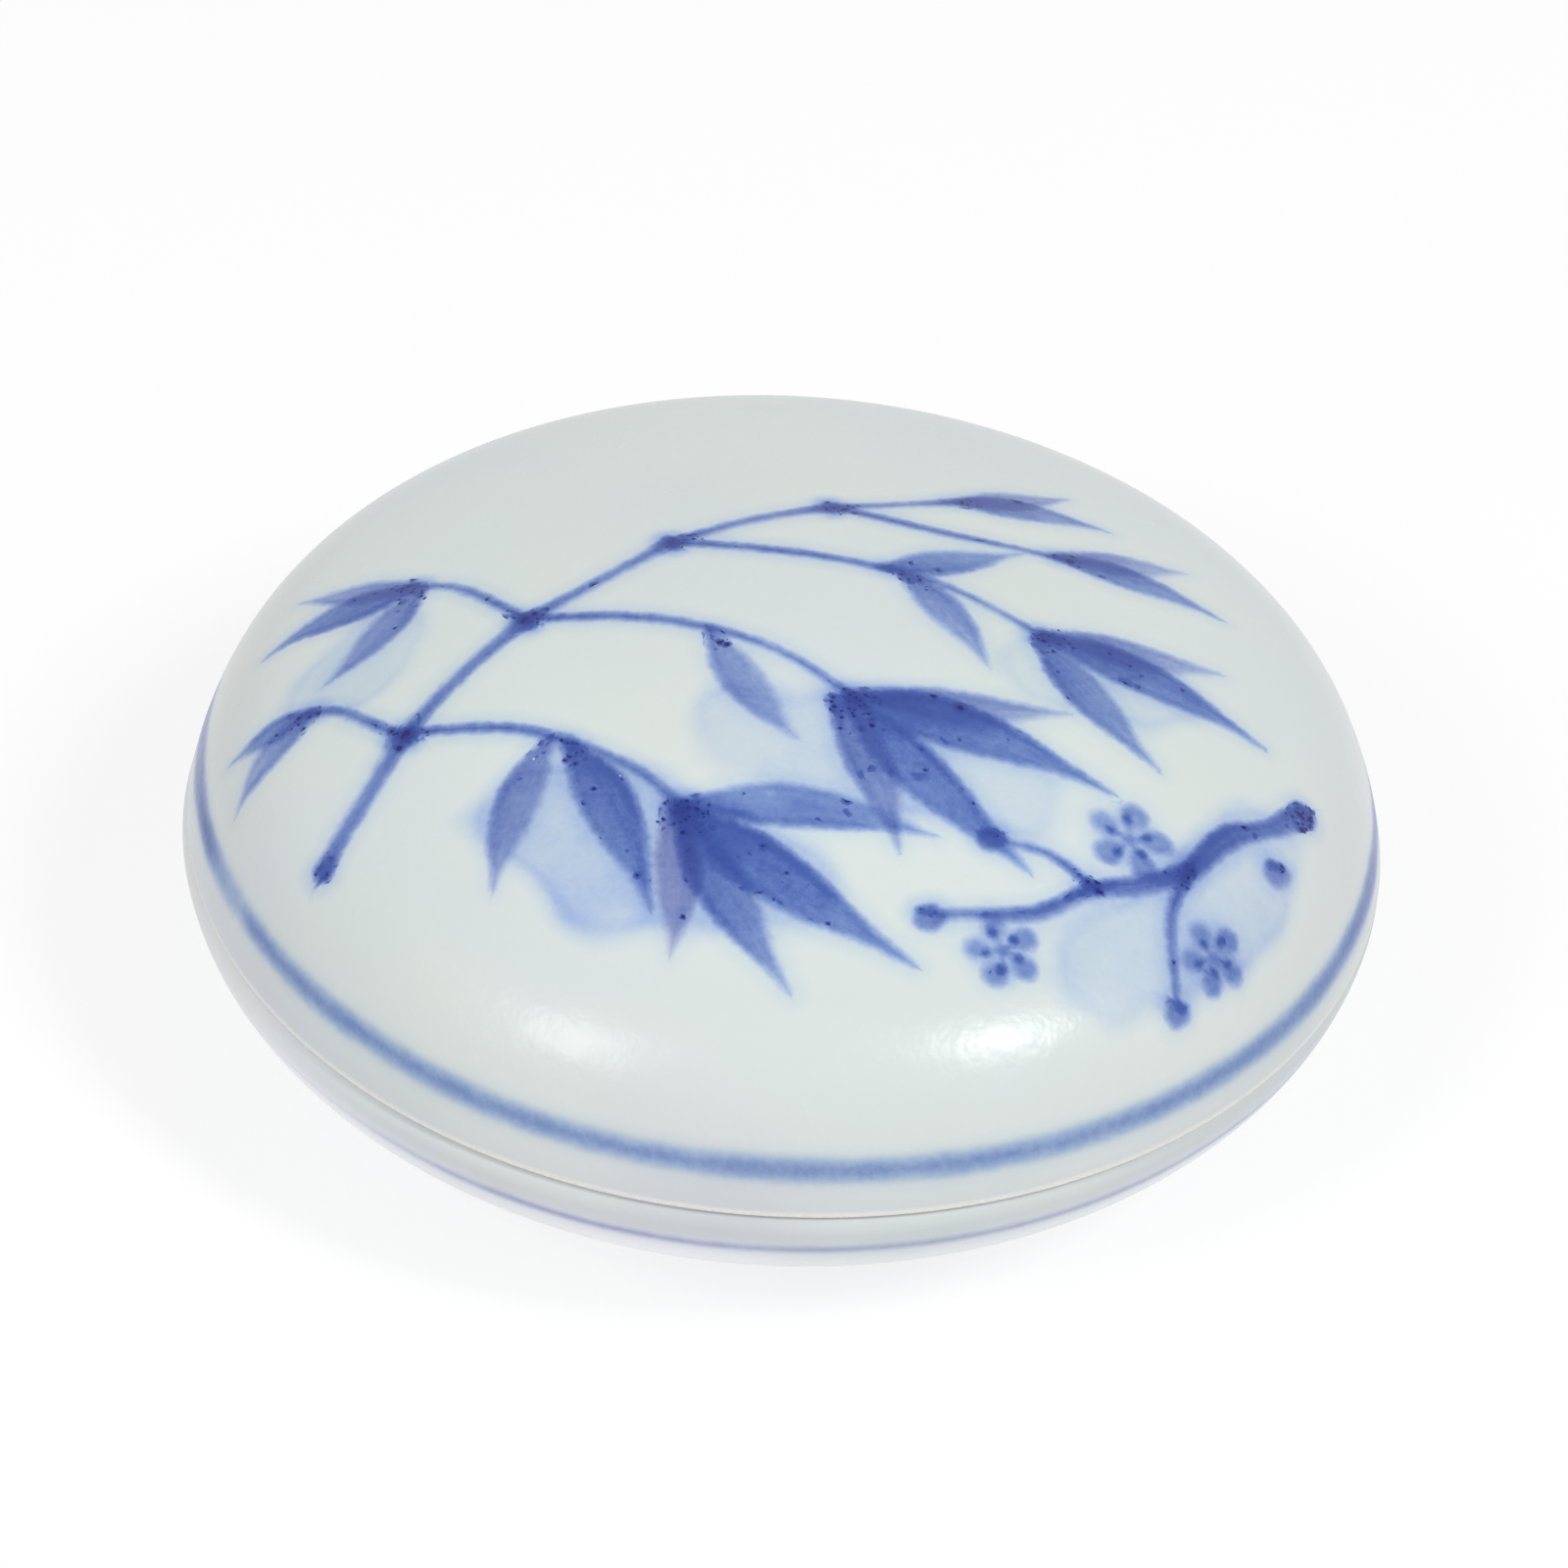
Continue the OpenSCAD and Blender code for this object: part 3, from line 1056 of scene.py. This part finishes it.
def lidGlazeWithPaintedShade(tree, where):
    # painted shade and a painted reflection tint grey the glaze over the shoulder, most under the ring
    height = axes(tree, where)[2]
    low = fade(tree, height, seam + 1.5, seam + 4.5)
    paintedShadeColour = mixColour(tree, low, rgba(glaze["edge"]), rgba(glaze["rim"]))
    return rgba(glaze["colour"]), paintedShadeColour, fade(tree, height, seam + 4, seam + 19)


def baseGlazeWithPaintedLightAndShade(tree, where):
    # painted shade darkens the glaze at the ledge and fades down the wall, painted light pales it lower down,
    # and the painted shade is weaker on the left as painted light
    place = axes(tree, where)
    height = plus(tree, place[2], vary(tree, where, -0.7, 0.7, 0.12))
    ledge = fade(tree, height, seam - 0.6, seam - 5.2)
    paintedLightLeft = fade(tree, place[0], -44, -20)
    ledge = times(tree, ledge, timesPlus(tree, paintedLightLeft, -0.7, 1.0))
    mainGlaze = mixColour(tree, fade(tree, place[0], -42, -34), rgba(glaze["base"]), rgba(glaze["baseLeft"]))
    return mainGlaze, rgba(glaze["ledge"]), ledge


def lidRim(tree, where):
    # the lid's flat rim and the start of its inside
    return fade(tree, axes(tree, where)[2], seam + 0.4, seam + 0.9)


def baseSeat(tree, where):
    # the ledge and the collar, and the bottom of the foot ring
    place = axes(tree, where)
    out = fromAxis(tree, place)
    height = plus(tree, place[2], vary(tree, where, -0.12, 0.12, 0.2))
    top = times(tree, fade(tree, height, seam - 0.05, seam - 0.3), fade(tree, out, 46.9, 47.4),
                fade(tree, out, 41.3, 41.0))
    return larger(tree, top, fade(tree, place[2], 0.35, 0.7))


def porcelain(name, ring, glazeWithPaintedLightAndShade, clayMask, painting=None):
    material, tree, shader, where = startMaterial(name)
    # the glaze colour, a painted shade colour and how much of it, with painted light in the base's glaze
    # colour
    mainGlaze, paintedShadeColour, amount = glazeWithPaintedLightAndShade(tree, where)
    body = useGroup(tree, "glaze", where, {"Main Glaze Color": mainGlaze, "Painted Shade Color": paintedShadeColour, "Painted Shade": amount})
    density = useGroup(tree, "ring", where, ring["brush"])["Density"]
    if "drySide" in ring:
        # here the brush had run dry
        wet = fade(tree, axes(tree, where)[0], *ring["drySide"])
        density = times(tree, density, spread(tree, wet, 0.2, 1.0))
    violet = times(tree, density, ring["violet"])
    # the rings are drawn with a greyer cobalt than the painting
    grey = mixColour(tree, fade(tree, density, 0.12, 0.02), white, (1, 1, 0.93, 1))
    colour = mixColour(tree, 1.0, body["Color"], grey, "MULTIPLY")
    height = body["Height"]
    grain = glint = 0.0
    if painting:
        painted, paintedViolet, heap = painting(tree, where)
        density = plus(tree, density, painted)
        violet = plus(tree, violet, paintedViolet)
        heaped = useGroup(tree, "heap", where, {"Density": painted, "Heap": heap})
        grain, glint = heaped["Grain"], heaped["Glint"]
        density = timesPlus(tree, heaped["Bloom"], 0.5, density)
        height = plus(tree, height, times(tree, grain, 0.02))
    share = calc(tree, "DIVIDE", violet, larger(tree, density, 0.05))
    cobalt = useGroup(tree, "cobalt", where, {"Glaze Color": colour, "Density": density, "Violet": share,
                                              "Grain": grain, "Glint": glint})
    bare = useGroup(tree, "clay", where, {})
    mask = clayMask(tree, where)
    rough = body["Roughness"]
    if "matte" in ring:
        # thin glaze over the edge is less glossy
        edge = fade(tree, axes(tree, where)[2], seam - 1.4, seam - 3.2)
        rough = plus(tree, rough, times(tree, edge, ring["matte"]))
    feed(tree, shader, {"Base Color": mixColour(tree, mask, cobalt["Color"], bare["Color"]),
                        "Roughness": mixValue(tree, mask, rough, bare["Roughness"]),
                        "Specular IOR Level": glaze["shine"]})
    bumpFrom(tree, mixValue(tree, mask, height, bare["Height"]), shader)
    return material


vermilion = {
    "dark": (178, 22, 12),
    "middle": (196, 30, 16),
    "pale": (209, 44, 24),
    "fibre": (222, 70, 44),
    "fibreHeight": 0.09,  # mm
    "grainHeight": 0.16,
    "oil": 0.35,
}


def pasteMaterial():
    # vermilion worked with oil and short plant fibre
    material, tree, shader, where = startMaterial("vermilion_paste")
    v = vermilion
    strands = []
    for turn, stretch in ((20, (0.5, 3.6, 1.6)), (75, (0.45, 3.2, 1.5)), (130, (0.55, 4.0, 1.7))):
        turned = {"Vector": where, "Rotation": (0.3, 0.2, math.radians(turn)), "Scale": stretch}
        strand = noise(tree, makeNode(tree, "Mapping", turned).outputs[0], 1.0, 3.0, 0.6)
        strands.append(fade(tree, sizeOf(tree, minus(tree, strand, 0.5)), 0.0, 0.05))
    fibres = fold(tree, "MAXIMUM", strands)
    tones = [(0.3, rgba(v["dark"])), (0.5, rgba(v["middle"])), (0.72, rgba(v["pale"]))]
    colour = ramp(tree, noise(tree, where, 0.28, 3.0), tones)
    colour = mixColour(tree, times(tree, fibres, 0.35), colour, rgba(v["fibre"]))
    feed(tree, shader, {"Base Color": colour, "Roughness": vary(tree, where, 0.28, 0.55, 0.6, 3.0),
                        "Coat Weight": v["oil"], "Coat Roughness": 0.22})
    grain = times(tree, noise(tree, where, 1.8, 4.0, 0.6), v["grainHeight"])
    bumpFrom(tree, plus(tree, times(tree, fibres, v["fibreHeight"]), grain), shader)
    return material


lid = makeLid()
paintLid(lid)
base = makeBase()
paste = makePaste()

groups = {"glaze": glazeGroup(), "brush": brushGroup(), "wash": washGroup(), "ring": ringGroup(),
          "heap": heapGroup(), "cobalt": cobaltGroup(), "clay": clayGroup()}

# the lid's ring is a little tilted, as the hand moved while the wheel turned
lidRing = {
    "violet": 0.0,
    "brush": {"Height": seam + 3.93, "Tilt X": -0.0134, "Tilt Y": -0.0023, "Half Width": 0.7,
              "Softness": 0.74, "Load": 0.412, "Start": -152.7 / 360},
}
baseRing = {
    "violet": 0.6,
    "drySide": (-8, -38),
    "matte": 0.3,
    "brush": {"Height": seam - 3.1, "Tilt X": 0.0, "Tilt Y": 0.0, "Half Width": 0.28,
              "Softness": 0.5, "Load": 0.25, "Start": 100 / 360},
}
lid.data.materials.append(porcelain("painted_glaze", lidRing, lidGlazeWithPaintedShade, lidRim, lidPainting))
base.data.materials.append(porcelain("base_glaze", baseRing, baseGlazeWithPaintedLightAndShade, baseSeat))
paste.data.materials.append(pasteMaterial())

for piece, body, node, slotName in (
        (lid, "box_lid", "lid", "lid_glaze"),
        (base, "box_base", "base", "base_glaze"),
        (paste, "box_base", "seal_paste", "paste")):
    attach(piece, body)
    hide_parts(node)
print("pieces ride and replace their nodes")


# studio

studio = {
    "elevation": 38.98,
    "distance": 475.0,
    "lens": 135.39,
    "roll": 3.84,
    "sky": 0.54,
    # direction, width and height in metres, and power
    "lamps": [((-0.491, -0.572, 0.657), (0.28, 0.42), 3.4), ((0.535, -0.393, 0.748), (0.22, 0.34), 5.0)],
    "lampDistance": 1.2,
    "aim": (0.1, 2.34),  # mm to the left of the seam's middle, and above it
    "paper": (0.9, 0.9, 0.91, 1),
    "table": 1.03,
    "tableShare": (0.24, 0.44),  # of what the floor gives, and how much more of what is seen
}


def makeCamera():
    e = math.radians(studio["elevation"])
    roll = math.radians(studio["roll"])
    ahead = Vector((0, math.cos(e), -math.sin(e)))
    upright = Vector((0, math.sin(e), math.cos(e)))
    right = Vector((math.cos(roll), 0, 0)) + upright * math.sin(roll)
    up = ahead.cross(right) * -1
    middle = Vector((0, 0, seam * mm))
    place = middle - ahead * studio["distance"] * mm
    # the object stands a little below the middle of the picture
    aimLeft, aimUp = studio["aim"]
    aim = middle + up * aimUp * mm - right * aimLeft * mm
    ahead = (aim - place).normalized()
    right = ahead.cross(up).normalized()
    up = right.cross(ahead)
    bpy.ops.object.camera_add(location=place)
    camera = bpy.context.object
    camera.matrix_world = Matrix.Translation(place) @ Matrix((right, up, -ahead)).transposed().to_4x4()
    camera.data.lens = studio["lens"]
    camera.data.sensor_width = 36
    camera.data.clip_start = 0.01
    camera.data.clip_end = 20
    bpy.context.scene.camera = camera


def makeLamps():
    for direction, size, power in studio["lamps"]:
        way = Vector(direction).normalized()
        place = way * studio["lampDistance"] + Vector((0, 0, seam * mm))
        bpy.ops.object.light_add(type="AREA", location=place)
        lamp = bpy.context.object
        lamp.rotation_euler = way.to_track_quat("Z", "Y").to_euler()
        lamp.data.shape = "RECTANGLE"
        lamp.data.size, lamp.data.size_y = size
        lamp.data.energy = power


def seenDirectly(tree):
    rays = tree.nodes.new("ShaderNodeLightPath").outputs
    kinds = ("Camera", "Glossy", "Transmission")
    return fold(tree, "MAXIMUM", [rays["Is " + kind + " Ray"] for kind in kinds])


def mixShaders(tree, factor, a, b, output):
    mix = makeNode(tree, "MixShader", {0: factor, 1: a.outputs[0], 2: b.outputs[0]})
    fill(tree, output.inputs[0], mix.outputs[0])


def makeWorld():
    world = bpy.data.worlds.new("softRoom")
    bpy.context.scene.world = world
    tree, output = emptyTree(world, "World")
    room = makeNode(tree, "Background", {"Color": white, "Strength": studio["sky"]})
    backdrop = makeNode(tree, "Background", {"Color": white})
    mixShaders(tree, seenDirectly(tree), room, backdrop, output)


def makeFloor():
    bpy.ops.object.select_all(action="DESELECT")
    bpy.ops.mesh.primitive_plane_add(size=6, location=(0, 0, 0))
    floor = bpy.context.object
    floor.name = "studio_floor"
    material = bpy.data.materials.new("paper_floor")
    tree, output = emptyTree(material, "Material")
    seen = seenDirectly(tree)
    paper = makeNode(tree, "BsdfDiffuse", {"Color": mixColour(tree, seen, studio["paper"], white)})
    # the paper lies on a dim light table
    table = makeNode(tree, "Emission", {"Strength": studio["table"]})
    share, more = studio["tableShare"]
    mixShaders(tree, timesPlus(tree, seen, more, share), paper, table, output)
    floor.data.materials.append(material)


makeCamera()
makeLamps()
makeWorld()
makeFloor()
bpy.context.scene.view_settings.view_transform = "Standard"
print("studio is set")
